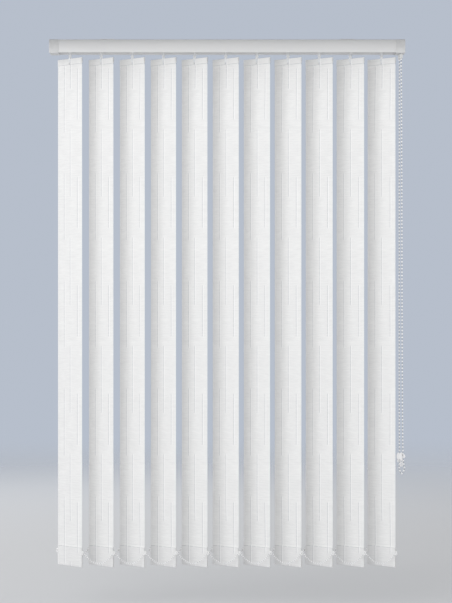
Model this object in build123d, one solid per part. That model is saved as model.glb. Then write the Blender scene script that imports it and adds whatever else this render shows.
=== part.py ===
"""Vertical blind with eleven fabric vanes, a slim headrail, a beaded control loop and two bottom chains.

Millimetres. +X runs to the right as seen from the room, -Y points into the room and +Z is up.
The origin is the centre of the plane that the two top brackets are screwed to.
"""

import os
from math import cos, pi, radians, sin, tan

from build123d import *

# ---------------------------------------------------------------- driving dimensions
# overall
RAIL_WIDTH = 888.0        # over both end caps
RAIL_DEPTH = 50.0
RAIL_HEIGHT = 32.5
RAIL_WALL = 1.3
RAIL_TOP_RADIUS = 2.4
RAIL_FOOT_RADIUS = 0.6
RAIL_SKIRT = 2.0          # front and rear walls reach this far below the lips
CEILING_GAP = 2.0         # from the fixing plane to the top of the rail
VANE_LENGTH = 1270.0
VANE_WIDTH = 89.0
VANE_COUNT = 11
VANE_PITCH = 78.0
VANE_SHIFT = -3.5         # the row of vanes sits a little to the left, clear of the drive
TILT = 43.5               # angle of the vanes from the closed plane at rest
CLOSED = 17.0             # the least angle, at either end of the tilt

# headrail section
SLOT_WIDTH = 14.0
SLOT_LIP_RISE = 2.0
CLIP_GROOVE_DEPTH = 3.0
CLIP_OPENING = 34.0
CLIP_LIP = 1.2
CLIP_UNDERCUT = 5.0

# end caps
CAP_WIDTH = 23.0
CAP_PROUD = 1.2
CAP_WALL = 1.8
CAP_END_RADIUS = 1.6
CAP_EDGE_RADIUS = 1.2
SPIGOT_LENGTH = 10.0
SPIGOT_WALL = 1.6
BOSS_RADIUS = 5.0
BOSS_DEPTH = 2.4
ARM_THICKNESS = 2.0
STOP_BELOW_CHANNEL = 5.5
STOP_FOOT = 5.0
BEARING_PLATE = 2.0

# tilt rod and chain wheel
ROD_RADIUS = 2.5
ROD_OFFSET = 9.0          # the rod runs this far behind the stems
ROD_BELOW_TOP = 16.5
ROD_END_GAP = 2.0
FLUTE_RADIUS = 0.8
FLUTE_COUNT = 3
BEAD = 4.5
WHEEL_PITCH_RADIUS = 11.2
WHEEL_PLANE = 9.5         # from the outer face of the right cap
WHEEL_FLANGE = 1.4
WHEEL_RIM_PROUD = 1.2      # the flanges stand this far beyond the chain's pitch line
WHEEL_NOTCH_RADIUS = 2.2
WHEEL_PRESS = 0.02        # the wheel is pressed on the rod
WHEEL_NOTCHES = 8

# carriers and stems
CARRIER_LENGTH = 14.0
CARRIER_DEPTH = 34.0
CARRIER_CHAMFER = 1.0
CARRIER_HEADROOM = 0.8
SHOE_DEPTH = 6.2
SHOE_HEIGHT = 7.0
GEAR_RADIUS = 5.2
GEAR_TEETH = 12
GEAR_HEIGHT = 8.0
GEAR_TOOTH_GAP = 0.9
GEAR_COLLAR = 1.5
WORM_SPACE_RADIUS = 4.6
STEM_RADIUS = 3.0
HUB_WALL = 2.0
HUB_PROUD = 0.5
SPACER_WIDTH = 6.0
SPACER_EDGE = 1.2         # carrier wall beside and above the spacers
SPACER_GRIP = 3.0
SPACER_HEAD_LENGTH = 2.0
SPACER_HEAD_WIDTH = 7.6
SPACER_THICKNESS = 0.25
SPACER_LEVEL = 0.6
SPACER_LEVELS = 6

# vane fabric, hangers, weights and hooks
CLOTH = 0.5
VANE_BELOW_RAIL = 12.7
TOP_POCKET = 15.0
BOTTOM_POCKET = 48.0
SEAM = 1.4
PLATE = 1.2               # hanger and weight thickness
HANGER_WIDTH = 72.0
HANGER_HEIGHT = 12.4
HANGER_CORNER = 3.0
HOOK_SLOT_WIDTH = 3.2
HOOK_SLOT_HEIGHT = 7.0
HOOK_SLOT_DROP = 6.1      # from the top of the vane to the top of the slot
HOOK_LEG = 1.2
HOOK_WIDTH = 5.0
HOOK_REACH = 2.7          # the front leg ends this far below the top of its slot
HOOK_REAR_LIFT = 1.0
BARB_HEIGHT = 2.1
NECK_RADIUS = 2.0
NECK_DROP = 2.9           # from the bottom of the rail to the narrow neck
BULGE_DROP = 3.7          # from the bottom of the rail to the bulge
BULGE_HEIGHT = 4.7
BULGE_WIDTH = 7.5
BULGE_DEPTH = 5.4
BULGE_RADIUS = 1.2
WEIGHT_WIDTH = 85.0
WEIGHT_HEIGHT = 39.0
WEIGHT_CORNER = 4.0
WEIGHT_LIFT = 2.0         # above the fold of the bottom pocket
EYE_WIDTH = 7.4
EYE_HEIGHT = 10.4
EYE_WALL = 1.8
EYE_OUT = 1.9             # eye centre beyond the edge of the cloth
EYE_DROP = 5.8            # eye centre below the top of the weight

# bottom chains
SMALL_BEAD = 3.0

# brackets
BRACKET_SPACING = 600.0
BRACKET_LENGTH = 36.0
BRACKET_PLATE = 1.6
BRACKET_HOLE_RADIUS = 2.25
CLAW_THICKNESS = 1.4
CLAW_REACH = 3.6

# chain guide and chain tidy
NOZZLE_RADIUS = 4.0
NOZZLE_BORE_RADIUS = 3.3
NOZZLE_DROP = 11.4
NOZZLE_COLLAR_HEIGHT = 2.4
NOZZLE_COLLAR_PROUD = 0.5
GUIDE_PLATE = 1.2
GUIDE_AHEAD = 6.5
TIDY_TOP = -1036.0
TIDY_HEIGHT = 34.0
TIDY_WIDTH = 8.0
TIDY_CORNER = 3.0
TIDY_SHIFT = 1.7          # the plate stands this far right of the middle of the chain's two strands
TIDY_PLATE = 2.6
TIDY_CHEEK = 1.6
TIDY_STANDOFF = 3.0       # from the chain to the plate
TIDY_COLUMN = (4.6, 18.0)
TIDY_COLUMN_PLACE = (-1.0, -9.0)
TIDY_COLUMN_CORNER = 1.5
TIDY_LOBE = (5.0, 9.0)    # half axes
TIDY_LOBE_PLACE = (-7.2, -7.5)
TIDY_RIGHT_CHEEK = (4.2, 7.4)
TIDY_RIGHT_CHEEK_PLACE = (3.2, -5.0)
TIDY_RIGHT_CHEEK_TURN = 40.0
TIDY_FOOT = (3.0, 4.0)
TIDY_FOOT_PLACE = (-8.0, -19.0)
TIDY_FOOT_THICKNESS = 2.4
TIDY_HOLE_RADIUS = 1.6
TIDY_HOLE_SPACING = 6.5
TIDY_HOLE_DROP = 21.0

# clearances
FIT = 0.1                 # pieces that are assembled and stay put
GLIDE = 0.2               # pieces that slide or turn on each other
FREE = 0.3                # pieces that only pass each other

# how the shapes are made
OVER = 1.0                # cutters reach this far past the face that they open
ARC_SHARE = 0.45          # of the shorter run, taken by the arc at a corner of a route

# ---------------------------------------------------------------- derived places
half_width = RAIL_WIDTH / 2
half_depth = RAIL_DEPTH / 2
rail_top = -CEILING_GAP
rail_bottom = rail_top - RAIL_HEIGHT
rail_end = half_width - CAP_WIDTH
lip_top = rail_bottom + RAIL_SKIRT + RAIL_WALL
groove_floor = rail_top - CLIP_GROOVE_DEPTH
channel_top = groove_floor - RAIL_WALL
channel_half = half_depth - RAIL_WALL
rod_y = ROD_OFFSET
rod_z = rail_top - ROD_BELOW_TOP
vane_top = rail_bottom - VANE_BELOW_RAIL
vane_bottom = vane_top - VANE_LENGTH
vane_x = [VANE_SHIFT + (n - (VANE_COUNT - 1) / 2) * VANE_PITCH for n in range(VANE_COUNT)]
pocket_half = PLATE / 2 + FIT + CLOTH
wheel_x = half_width - WHEEL_PLANE
cap_bottom = rail_bottom - CAP_PROUD
cap_half = half_depth + CAP_PROUD
carrier_top = channel_top - CARRIER_HEADROOM
carrier_bottom = lip_top + SLOT_LIP_RISE + 2 * GLIDE
gear_top = rod_z + GEAR_HEIGHT / 2
gear_bottom = rod_z - GEAR_HEIGHT / 2
seat_z = gear_bottom - 2 * GLIDE - GEAR_COLLAR
hub_bottom = rail_bottom - HUB_PROUD
spacer_y = -CARRIER_DEPTH / 2 + SPACER_EDGE + SPACER_HEAD_WIDTH / 2 + FREE
spacer_floor = carrier_top - SPACER_EDGE - SPACER_LEVELS * SPACER_LEVEL
weight_bottom = vane_bottom + CLOTH + WEIGHT_LIFT
weight_top = weight_bottom + WEIGHT_HEIGHT
eye_z = weight_top - EYE_DROP
eye_reach = VANE_WIDTH / 2 + EYE_OUT
strand_front = rod_y - WHEEL_PITCH_RADIUS
strand_rear = rod_y + WHEEL_PITCH_RADIUS
tidy_hole_z = TIDY_TOP - TIDY_HOLE_DROP
hook_slot_top = vane_top - HOOK_SLOT_DROP

# the control chain leaves the wheel, passes the tidy and comes back: straight runs and tangent arcs
CONTROL_ROUTE = [
    (wheel_x, strand_front, rod_z),
    (wheel_x, strand_front, rod_z - 13.0),
    (wheel_x + 1.7, strand_front, rod_z - 25.5),
    (wheel_x + 4.9, rod_y - 2.0, TIDY_TOP + 2.0),
    (wheel_x + 8.4, rod_y, TIDY_TOP - 30.0),
    (wheel_x + 8.8, rod_y, TIDY_TOP - 46.8),
    (wheel_x - 2.2, rod_y, TIDY_TOP - 46.8),
    (wheel_x - 1.9, rod_y, TIDY_TOP - 30.0),
    (wheel_x - 2.6, rod_y + 2.0, TIDY_TOP + 2.0),
    (wheel_x - 1.6, strand_rear, rod_z - 25.5),
    (wheel_x, strand_rear, rod_z - 13.0),
    (wheel_x, strand_rear, rod_z),
]

tidy_x = (CONTROL_ROUTE[3][0] + CONTROL_ROUTE[8][0]) / 2 + TIDY_SHIFT

# one hanging span of a bottom chain, from the eye of one vane to the eye of the next: along, down
SPAN_PITCH = 78.0
SPAN_ROUTE = [
    (3.7, 1.0),
    (10.0, 8.5),
    (22.0, 17.3),
    (39.0, 22.0),
    (56.0, 17.3),
    (68.0, 8.5),
    (74.3, 1.0),
]


# ---------------------------------------------------------------- small helpers
def block(x0, x1, y0, y1, z0, z1):
    """A box between two corners."""
    centre = ((x0 + x1) / 2, (y0 + y1) / 2, (z0 + z1) / 2)
    return Pos(*centre) * Box(abs(x1 - x0), abs(y1 - y0), abs(z1 - z0))


def post(x, y, z0, z1, radius):
    """An upright cylinder between two heights."""
    return Pos(x, y, (z0 + z1) / 2) * Cylinder(radius, abs(z1 - z0))


def bar(x0, x1, y, z, radius):
    """A cylinder along X between two places."""
    return Pos((x0 + x1) / 2, y, z) * Rot(0, 90, 0) * Cylinder(radius, abs(x1 - x0))


def tube_path(points):
    """Straight runs with a tangent arc at each corner, as large as the shorter run allows."""
    spots = [Vector(*p) for p in points]
    radii = []
    for before, here, after in zip(spots, spots[1:], spots[2:]):
        turn = (here - before).get_angle(after - here)
        shorter = min((here - before).length, (after - here).length)
        radii.append(ARC_SHARE * shorter / tan(radians(turn) / 2))
    return FilletPolyline(*spots, radius=radii), radii


def tube(points, diameter, name):
    """A round tube along the route; prints its tightest arc and compares its volume with its length."""
    path, radii = tube_path(points)
    start = Plane(origin=path @ 0, z_dir=path % 0)
    solid = sweep(start * Circle(diameter / 2), path=path)
    share = solid.volume / (pi * (diameter / 2) ** 2 * path.length)
    print(f"{name}: {path.length:.1f} mm, radii {[round(r, 1) for r in radii]}, volume share {share:.4f}")
    return solid


def at_vane(piece, x):
    """Turns a piece drawn in the closed plane to the resting tilt and moves it to its vane."""
    return Pos(x, 0, 0) * Rot(0, 0, -TILT) * piece


# ---------------------------------------------------------------- headrail and its ends
def headrail():
    """One extrusion: clip groove on top, channel inside, slot between two turned-up lips below."""
    outer = Rectangle(RAIL_DEPTH, RAIL_HEIGHT)
    corners = outer.vertices().sort_by(Axis.Y)
    outer = fillet(corners[2:], RAIL_TOP_RADIUS)
    outer = fillet(outer.vertices().sort_by(Axis.Y)[:2], RAIL_FOOT_RADIUS)
    middle = (rail_top + rail_bottom) / 2
    channel_middle = (channel_top + lip_top) / 2 - middle
    channel = Pos(0, channel_middle) * Rectangle(2 * channel_half, channel_top - lip_top)
    slot = Pos(0, lip_top - RAIL_WALL / 2 - middle) * Rectangle(SLOT_WIDTH, 2 * RAIL_WALL)
    under = Pos(0, rail_bottom - middle) * Rectangle(2 * channel_half, 2 * RAIL_SKIRT)
    opening_middle = (rail_top + groove_floor) / 2 - middle
    opening = Pos(0, opening_middle) * Rectangle(CLIP_OPENING, CLIP_GROOVE_DEPTH)
    under_top = rail_top - CLIP_LIP
    undercut_middle = (under_top + groove_floor) / 2 - middle
    undercut_width = CLIP_OPENING + 2 * CLIP_UNDERCUT
    undercut = Pos(0, undercut_middle) * Rectangle(undercut_width, under_top - groove_floor)
    section = outer - channel - slot - under - opening - undercut
    for side in (-1, 1):
        rib = Pos(side * (SLOT_WIDTH + RAIL_WALL) / 2, lip_top + SLOT_LIP_RISE / 2 - middle)
        section += rib * Rectangle(RAIL_WALL, SLOT_LIP_RISE)
    plane = Plane(origin=(-rail_end, 0, middle), x_dir=(0, 1, 0), z_dir=(1, 0, 0))
    return extrude(plane * section, amount=2 * rail_end)


def cap_shell(side):
    """A hollow end cap, open towards the rail, a little deeper and lower than the rail."""
    inner_x = side * (rail_end + FIT)
    outer_x = side * half_width
    shell = block(inner_x, outer_x, -cap_half, cap_half, cap_bottom, rail_top)
    end_face = shell.faces().sort_by(Axis.X)[-1 if side > 0 else 0]
    shell = fillet(end_face.edges(), CAP_END_RADIUS)
    long_edges = shell.edges().filter_by(Axis.X)
    shell = fillet(long_edges, CAP_EDGE_RADIUS)
    hollow = block(
        inner_x - side * OVER,
        outer_x - side * CAP_WALL,
        -cap_half + CAP_WALL,
        cap_half - CAP_WALL,
        cap_bottom + CAP_WALL,
        rail_top - CAP_WALL,
    )
    return shell - hollow


def spigot(side):
    """The collar that plugs into the channel of the rail, notched over the turned-up lips."""
    x0 = side * (rail_end - SPIGOT_LENGTH)
    x1 = side * (rail_end + FIT)
    top = channel_top - FIT
    bottom = lip_top + FIT
    reach = channel_half - FIT
    collar = block(x0, x1, -reach, reach, bottom, top)
    open_x0 = x0 - side * OVER
    open_x1 = x1 + side * OVER
    inside = reach - SPIGOT_WALL
    collar -= block(open_x0, open_x1, -inside, inside, bottom + SPIGOT_WALL, top - SPIGOT_WALL)
    notch = SLOT_WIDTH / 2 + RAIL_WALL + FREE
    collar -= block(open_x0, open_x1, -notch, notch, bottom - OVER, bottom + SLOT_LIP_RISE + FREE)
    return collar


def bearing_plate(side, gap):
    """A plate across the inside of the cap, just beyond the end of the rail, with the rod's bore."""
    x0 = side * (rail_end + FIT)
    x1 = side * (rail_end + FIT + BEARING_PLATE)
    inside_y = cap_half - CAP_WALL - gap
    plate_bottom = cap_bottom + CAP_WALL + gap
    plate = block(x0, x1, -inside_y, inside_y, plate_bottom, rail_top - CAP_WALL - gap)
    boss_end = side * (rail_end - SPIGOT_LENGTH)
    boss = bar(boss_end, x1, rod_y, rod_z, BOSS_RADIUS)
    arm_half = ARM_THICKNESS / 2
    arm_end = boss_end + side * ARM_THICKNESS
    arm = block(arm_end, x1, rod_y, channel_half - FIT, rod_z - arm_half, rod_z + arm_half)
    bore = bar(boss_end - side * OVER, side * half_width, rod_y, rod_z, ROD_RADIUS + GLIDE)
    return plate + boss + arm + spigot(side) - bore


def end_cap_left():
    """The idle end: shell, collar and rod bearing in one moulding."""
    return cap_shell(-1) + bearing_plate(-1, -CAP_WALL / 2)


def end_cap_right():
    """The cover of the drive, with a boss for the rod's end and two openings for the chain."""
    shell = cap_shell(1)
    inner = half_width - CAP_WALL
    boss = bar(inner - BOSS_DEPTH, inner + CAP_WALL / 2, rod_y, rod_z, BOSS_RADIUS)
    boss -= bar(inner - BOSS_DEPTH - OVER, inner, rod_y, rod_z, ROD_RADIUS + GLIDE)
    shell += boss
    for x, y in nozzle_places():
        shell -= post(x, y, cap_bottom - OVER, cap_bottom + CAP_WALL + OVER, NOZZLE_RADIUS + FIT)
    return shell


def end_stop():
    """A clip in the channel that parks the last carrier against the idle end."""
    x1 = vane_x[0] - CARRIER_LENGTH / 2 - FIT
    x0 = -(rail_end - SPIGOT_LENGTH) + FIT
    stop_bottom = lip_top + SLOT_LIP_RISE + FREE
    stop = block(x0, x1, -CARRIER_DEPTH / 2, -ROD_RADIUS, stop_bottom, channel_top - STOP_BELOW_CHANNEL)
    foot_y = -SLOT_WIDTH / 2 - RAIL_WALL - FIT
    foot = block(x0, x1, -channel_half + FIT, foot_y, lip_top + FIT, lip_top + STOP_FOOT)
    return stop + foot


# ---------------------------------------------------------------- drive
def tilt_rod():
    """A fluted rod from the idle bearing to the chain wheel."""
    left = -half_width + CAP_WALL + ROD_END_GAP
    right = half_width - CAP_WALL - FREE
    section = Circle(ROD_RADIUS)
    for n in range(FLUTE_COUNT):
        section -= Rot(0, 0, n * 360 / FLUTE_COUNT) * Pos(ROD_RADIUS, 0) * Circle(FLUTE_RADIUS)
    plane = Plane(origin=(left, rod_y, rod_z), x_dir=(0, 1, 0), z_dir=(1, 0, 0))
    return extrude(plane * section, amount=right - left)


def chain_wheel():
    """A grooved wheel with scalloped flanges that take the beads."""
    groove_half = BEAD / 2 + 2 * FREE
    groove_radius = WHEEL_PITCH_RADIUS - BEAD / 2 - FREE
    rim = WHEEL_PITCH_RADIUS + WHEEL_RIM_PROUD
    wheel = bar(wheel_x - groove_half, wheel_x + groove_half, rod_y, rod_z, groove_radius)
    for side in (-1, 1):
        inner = wheel_x + side * groove_half
        flange = bar(inner, inner + side * WHEEL_FLANGE, rod_y, rod_z, rim)
        for n in range(WHEEL_NOTCHES):
            turn = radians(n * 360 / WHEEL_NOTCHES)
            y = rod_y + rim * cos(turn)
            z = rod_z + rim * sin(turn)
            flange -= bar(inner - side * OVER, inner + side * (WHEEL_FLANGE + OVER), y, z, WHEEL_NOTCH_RADIUS)
        wheel += flange
    hub_left = rail_end + BEARING_PLATE + 3 * FIT
    hub_right = half_width - CAP_WALL - BOSS_DEPTH - GLIDE
    wheel += bar(hub_left, hub_right, rod_y, rod_z, BOSS_RADIUS)
    return wheel - bar(hub_left - OVER, hub_right + OVER, rod_y, rod_z, ROD_RADIUS + WHEEL_PRESS)


def nozzle_places():
    """The two places where the chain leaves the cap, front first."""
    return [
        ((CONTROL_ROUTE[1][0] + CONTROL_ROUTE[2][0]) / 2, strand_front),
        ((CONTROL_ROUTE[-2][0] + CONTROL_ROUTE[-3][0]) / 2, strand_rear),
    ]


def chain_guide():
    """A plate inside the cap with two nozzles that lead the chain's strands out of it."""
    plate_bottom = cap_bottom + CAP_WALL + FIT
    plate_top = plate_bottom + GUIDE_PLATE
    guide = block(
        rail_end + BEARING_PLATE + 3 * GLIDE,
        half_width - CAP_WALL - FIT,
        strand_front - GUIDE_AHEAD,
        cap_half - CAP_WALL - FIT,
        plate_bottom,
        plate_top,
    )
    nozzle_end = rail_bottom - NOZZLE_DROP
    collar = NOZZLE_RADIUS + NOZZLE_COLLAR_PROUD
    for x, y in nozzle_places():
        guide += post(x, y, nozzle_end, plate_top, NOZZLE_RADIUS)
        guide += post(x, y, nozzle_end, nozzle_end + NOZZLE_COLLAR_HEIGHT, collar)
    for x, y in nozzle_places():
        guide -= post(x, y, nozzle_end - OVER, plate_top + OVER, NOZZLE_BORE_RADIUS)
    return guide


def control_chain():
    """The loop's hanging strands as one tube, and its half turn over the wheel."""
    strands = tube(CONTROL_ROUTE, BEAD, "control chain")
    x, _, z = CONTROL_ROUTE[0]
    ring = Pos(x, rod_y, z) * Rot(0, 90, 0) * Torus(WHEEL_PITCH_RADIUS, BEAD / 2)
    reach = 2 * WHEEL_PITCH_RADIUS
    over = ring & block(x - reach, x + reach, rod_y - reach, rod_y + reach, z, z + reach)
    return Compound([strands.solid(), over.solid()])


def tidy_place(offset):
    """A place on the chain tidy, right of and above the middle of its top edge."""
    return Pos(tidy_x + offset[0], TIDY_TOP + offset[1])


def chain_tidy():
    """A wall clip that keeps the loop from hanging free: a screwed plate, a column and guiding cheeks."""
    chain_y = (CONTROL_ROUTE[4][1] + CONTROL_ROUTE[7][1]) / 2
    front_y = chain_y - BEAD / 2 - TIDY_CHEEK
    plate_back = chain_y + BEAD / 2 + TIDY_STANDOFF + TIDY_PLATE
    lobe_back = VANE_WIDTH / 2 * sin(radians(CLOSED)) - pocket_half - 2 * FREE
    back = Plane(origin=(0, plate_back, 0), x_dir=(1, 0, 0), z_dir=(0, -1, 0))
    lobe = Plane(origin=(0, lobe_back, 0), x_dir=(1, 0, 0), z_dir=(0, -1, 0))
    centre = Pos(tidy_x, TIDY_TOP - TIDY_HEIGHT / 2)
    body = extrude(back * centre * RectangleRounded(TIDY_WIDTH, TIDY_HEIGHT, TIDY_CORNER), TIDY_PLATE)
    column = tidy_place(TIDY_COLUMN_PLACE) * RectangleRounded(*TIDY_COLUMN, TIDY_COLUMN_CORNER)
    body += extrude(back * column, plate_back - front_y)
    left = tidy_place(TIDY_LOBE_PLACE) * Ellipse(*TIDY_LOBE)
    body += extrude(lobe * left, lobe_back - front_y)
    right = tidy_place(TIDY_RIGHT_CHEEK_PLACE) * Rot(0, 0, TIDY_RIGHT_CHEEK_TURN) * Ellipse(*TIDY_RIGHT_CHEEK)
    body += extrude(back * right, plate_back - front_y)
    foot = tidy_place(TIDY_FOOT_PLACE) * Ellipse(*TIDY_FOOT)
    body += extrude(lobe * foot, TIDY_FOOT_THICKNESS)
    path, _ = tube_path(CONTROL_ROUTE[2:10])
    body -= sweep(Plane(origin=path @ 0, z_dir=path % 0) * Circle(BEAD / 2 + FREE), path=path)
    for n in range(2):
        hole = Pos(tidy_x, plate_back, tidy_hole_z - n * TIDY_HOLE_SPACING) * Rot(90, 0, 0)
        body -= hole * Cylinder(TIDY_HOLE_RADIUS, 6 * TIDY_PLATE)
    return body


# ---------------------------------------------------------------- brackets
def bracket(x):
    """A spring-steel clip: plate under the ceiling, two claws under the lips of the clip groove."""
    half = CLIP_OPENING / 2 - FREE
    x0 = x - BRACKET_LENGTH / 2
    x1 = x + BRACKET_LENGTH / 2
    claw_top = rail_top - CLIP_LIP - FREE
    claw_bottom = groove_floor + FREE
    clip = block(x0, x1, -half, half, -BRACKET_PLATE, 0)
    for side in (-1, 1):
        wall = side * half
        inner = wall - side * CLAW_THICKNESS
        clip += block(x0, x1, inner, wall, claw_bottom, 0)
        clip += block(x0, x1, inner, wall + side * CLAW_REACH, claw_bottom, claw_top)
    return clip - post(x, 0, -BRACKET_PLATE - OVER, OVER, BRACKET_HOLE_RADIUS)


# ---------------------------------------------------------------- carriers, spacers and stems
def carrier(index):
    """A carrier that glides on the rail's lips, holds a stem and lets the rod and the spacers through."""
    x = vane_x[index]
    x0 = x - CARRIER_LENGTH / 2
    x1 = x + CARRIER_LENGTH / 2
    half = CARRIER_DEPTH / 2
    body = block(x0, x1, -half, half, carrier_bottom, carrier_top)
    body = chamfer(body.edges().filter_by(Axis.X), CARRIER_CHAMFER)
    for side in (-1, 1):
        shoe_in = side * (half - CARRIER_CHAMFER / 2)
        shoe_out = side * (half + SHOE_DEPTH)
        body += block(x0, x1, shoe_in, shoe_out, lip_top + GLIDE, lip_top + GLIDE + SHOE_HEIGHT)
    body += post(x, 0, hub_bottom, carrier_bottom + OVER, STEM_RADIUS + GLIDE + HUB_WALL)
    body -= post(x, 0, seat_z, carrier_top + OVER, GEAR_RADIUS + 2 * GLIDE)
    body -= post(x, 0, hub_bottom - OVER, seat_z + OVER, STEM_RADIUS + GLIDE)
    body -= bar(x0 - OVER, x1 + OVER, rod_y, rod_z, WORM_SPACE_RADIUS)
    head_half = SPACER_HEAD_WIDTH / 2 + GLIDE
    spacer_top = spacer_floor + SPACER_LEVELS * SPACER_LEVEL
    head_y0 = spacer_y - head_half
    head_y1 = spacer_y + head_half
    body -= block(x0 - OVER, x1 + OVER, head_y0, head_y1, spacer_floor, spacer_top)
    if index > 0:
        low, high = level_span((index - 1) % SPACER_LEVELS)
        shoulder = SPACER_WIDTH / 2 + GLIDE
        for side in (-1, 1):
            y0 = spacer_y + side * shoulder
            y1 = spacer_y + side * (head_half + GLIDE)
            body += block(x0, x1, y0, y1, low, high)
    return body


def level_span(level):
    """The heights between which the shoulders of one spacer level stand."""
    low = spacer_floor + level * SPACER_LEVEL
    return low, low + SPACER_LEVEL - FIT


def spacer(index):
    """The thin link that pulls the next carrier along: a strip with a wider head beyond that carrier."""
    low, high = level_span(index % SPACER_LEVELS)
    z0 = (low + high - SPACER_THICKNESS) / 2
    z1 = z0 + SPACER_THICKNESS
    x0 = vane_x[index] + CARRIER_LENGTH / 2 - SPACER_GRIP
    x1 = vane_x[index + 1] + CARRIER_LENGTH / 2 + GLIDE
    half = SPACER_WIDTH / 2
    head_half = SPACER_HEAD_WIDTH / 2
    strip = block(x0, x1 + SPACER_HEAD_LENGTH / 2, spacer_y - half, spacer_y + half, z0, z1)
    head = block(x1, x1 + SPACER_HEAD_LENGTH, spacer_y - head_half, spacer_y + head_half, z0, z1)
    return strip + head


def spacer_grips(index):
    """The two ledges inside a carrier that its own spacer is pressed between."""
    low, high = level_span(index % SPACER_LEVELS)
    x1 = vane_x[index] + CARRIER_LENGTH / 2
    inner = SPACER_WIDTH / 2 + FIT / 2
    outer = SPACER_HEAD_WIDTH / 2 + 2 * GLIDE
    grips = []
    for side in (-1, 1):
        y0 = spacer_y + side * inner
        y1 = spacer_y + side * outer
        grips.append(block(x1 - SPACER_GRIP, x1 - GLIDE, y0, y1, low, high))
    return grips[0] + grips[1]


def stem():
    """Worm wheel, shaft and hook in one moulding, drawn at the origin in the closed plane."""
    gear = post(0, 0, gear_bottom, gear_top, GEAR_RADIUS)
    for n in range(GEAR_TEETH):
        turn = 360 * (n + 0.5) / GEAR_TEETH
        notch = post(GEAR_RADIUS + FREE, 0, gear_bottom - OVER, gear_top + OVER, GEAR_TOOTH_GAP)
        gear -= Rot(0, 0, turn) * notch
    gear += post(0, 0, seat_z + GLIDE, gear_bottom, GEAR_RADIUS)
    neck_top = rail_bottom - NECK_DROP
    gear += post(0, 0, neck_top, seat_z + GEAR_COLLAR, STEM_RADIUS)
    bulge_top = rail_bottom - BULGE_DROP
    bulge_bottom = bulge_top - BULGE_HEIGHT
    gear += post(0, 0, bulge_top, neck_top, NECK_RADIUS)
    bulge = Pos(0, 0, bulge_top - BULGE_HEIGHT / 2) * Box(BULGE_WIDTH, BULGE_DEPTH, BULGE_HEIGHT)
    gear += fillet(bulge.edges(), BULGE_RADIUS)
    leg_in = pocket_half + FIT
    leg_out = leg_in + HOOK_LEG
    half = HOOK_WIDTH / 2
    bridge_bottom = vane_top + FREE
    leg_top = bulge_bottom + BULGE_RADIUS
    gear += block(-half, half, -leg_out, leg_out, bridge_bottom, leg_top)
    front_leg = block(-half, half, -leg_out, -leg_in, hook_slot_top - HOOK_REACH, leg_top)
    rear_leg = block(-half, half, leg_in, leg_out, hook_slot_top + HOOK_REAR_LIFT, leg_top)
    barb_half = HOOK_SLOT_WIDTH / 2 - GLIDE
    barb_top = hook_slot_top - GLIDE
    barb = block(-barb_half, barb_half, -leg_in - GLIDE, GLIDE, barb_top - BARB_HEIGHT, barb_top)
    return gear + front_leg + rear_leg + barb


# ---------------------------------------------------------------- vanes
def hook_slot():
    """The cut that takes the barb of the hook, through cloth and hanger."""
    bottom = hook_slot_top - HOOK_SLOT_HEIGHT
    half = HOOK_SLOT_WIDTH / 2
    return block(-half, half, -pocket_half - OVER, pocket_half + OVER, bottom, hook_slot_top)


def vane():
    """One strip of cloth with a sewn pocket at each end, as a closed solid."""
    half = VANE_WIDTH / 2
    inner = pocket_half - CLOTH
    wide = half + OVER
    top_seam = vane_top - TOP_POCKET
    bottom_seam = vane_bottom + BOTTOM_POCKET
    top = block(-half, half, -pocket_half, pocket_half, top_seam, vane_top)
    top -= block(-wide, wide, -inner, inner, top_seam + SEAM, vane_top - CLOTH)
    bottom = block(-half, half, -pocket_half, pocket_half, vane_bottom, bottom_seam)
    bottom -= block(-wide, wide, -inner, inner, vane_bottom + CLOTH, bottom_seam - SEAM)
    middle = block(-half, half, -CLOTH / 2, CLOTH / 2, bottom_seam - SEAM / 2, top_seam + SEAM / 2)
    return top + bottom + middle - hook_slot()


def hanger():
    """The stiff plate in the top pocket that the hook carries."""
    top = vane_top - CLOTH - FIT
    centre = top - HANGER_HEIGHT / 2
    face = Plane(origin=(0, PLATE / 2, 0), x_dir=(1, 0, 0), z_dir=(0, -1, 0))
    outline = RectangleRounded(HANGER_WIDTH, HANGER_HEIGHT, HANGER_CORNER)
    return extrude(face * Pos(0, centre) * outline, PLATE) - hook_slot()


def weight():
    """The flat bottom weight with an eye at each end for the chains."""
    face = Plane(origin=(0, PLATE / 2, 0), x_dir=(1, 0, 0), z_dir=(0, -1, 0))
    centre = (weight_bottom + weight_top) / 2
    plate = face * Pos(0, centre) * RectangleRounded(WEIGHT_WIDTH, WEIGHT_HEIGHT, WEIGHT_CORNER)
    for side in (-1, 1):
        plate += face * Pos(side * (WEIGHT_WIDTH / 2), eye_z) * Rectangle(EYE_OUT * 2, EYE_HEIGHT / 2)
        place = Pos(side * eye_reach, eye_z)
        plate += face * place * Rot(0, 0, 90) * SlotOverall(EYE_HEIGHT, EYE_WIDTH)
        inner_height = EYE_HEIGHT - 2 * EYE_WALL
        plate -= face * place * Rot(0, 0, 90) * SlotOverall(inner_height, EYE_WIDTH - 2 * EYE_WALL)
    return extrude(plate, PLATE)


def bottom_chain(side, name):
    """Ten hanging spans between the eyes on one edge of the vanes; side -1 is the far edge."""
    edge_x = side * eye_reach * cos(radians(TILT))
    edge_y = -side * eye_reach * sin(radians(TILT))
    spans = []
    for n in range(VANE_COUNT - 1):
        x = vane_x[n] + edge_x
        stretch = VANE_PITCH / SPAN_PITCH
        points = [(x + along * stretch, edge_y, eye_z - down) for along, down in SPAN_ROUTE]
        spans.append(tube(points, SMALL_BEAD, f"{name} {n + 1}").solid())
    return Compound(spans)


# ---------------------------------------------------------------- build
def save(piece, name):
    """Writes one node."""
    export_step(piece, f"parts/{name}.step")


def solids_of(*pieces):
    """One compound of the separate solids of several pieces."""
    return Compound([solid for piece in pieces for solid in piece.solids()])


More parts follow.
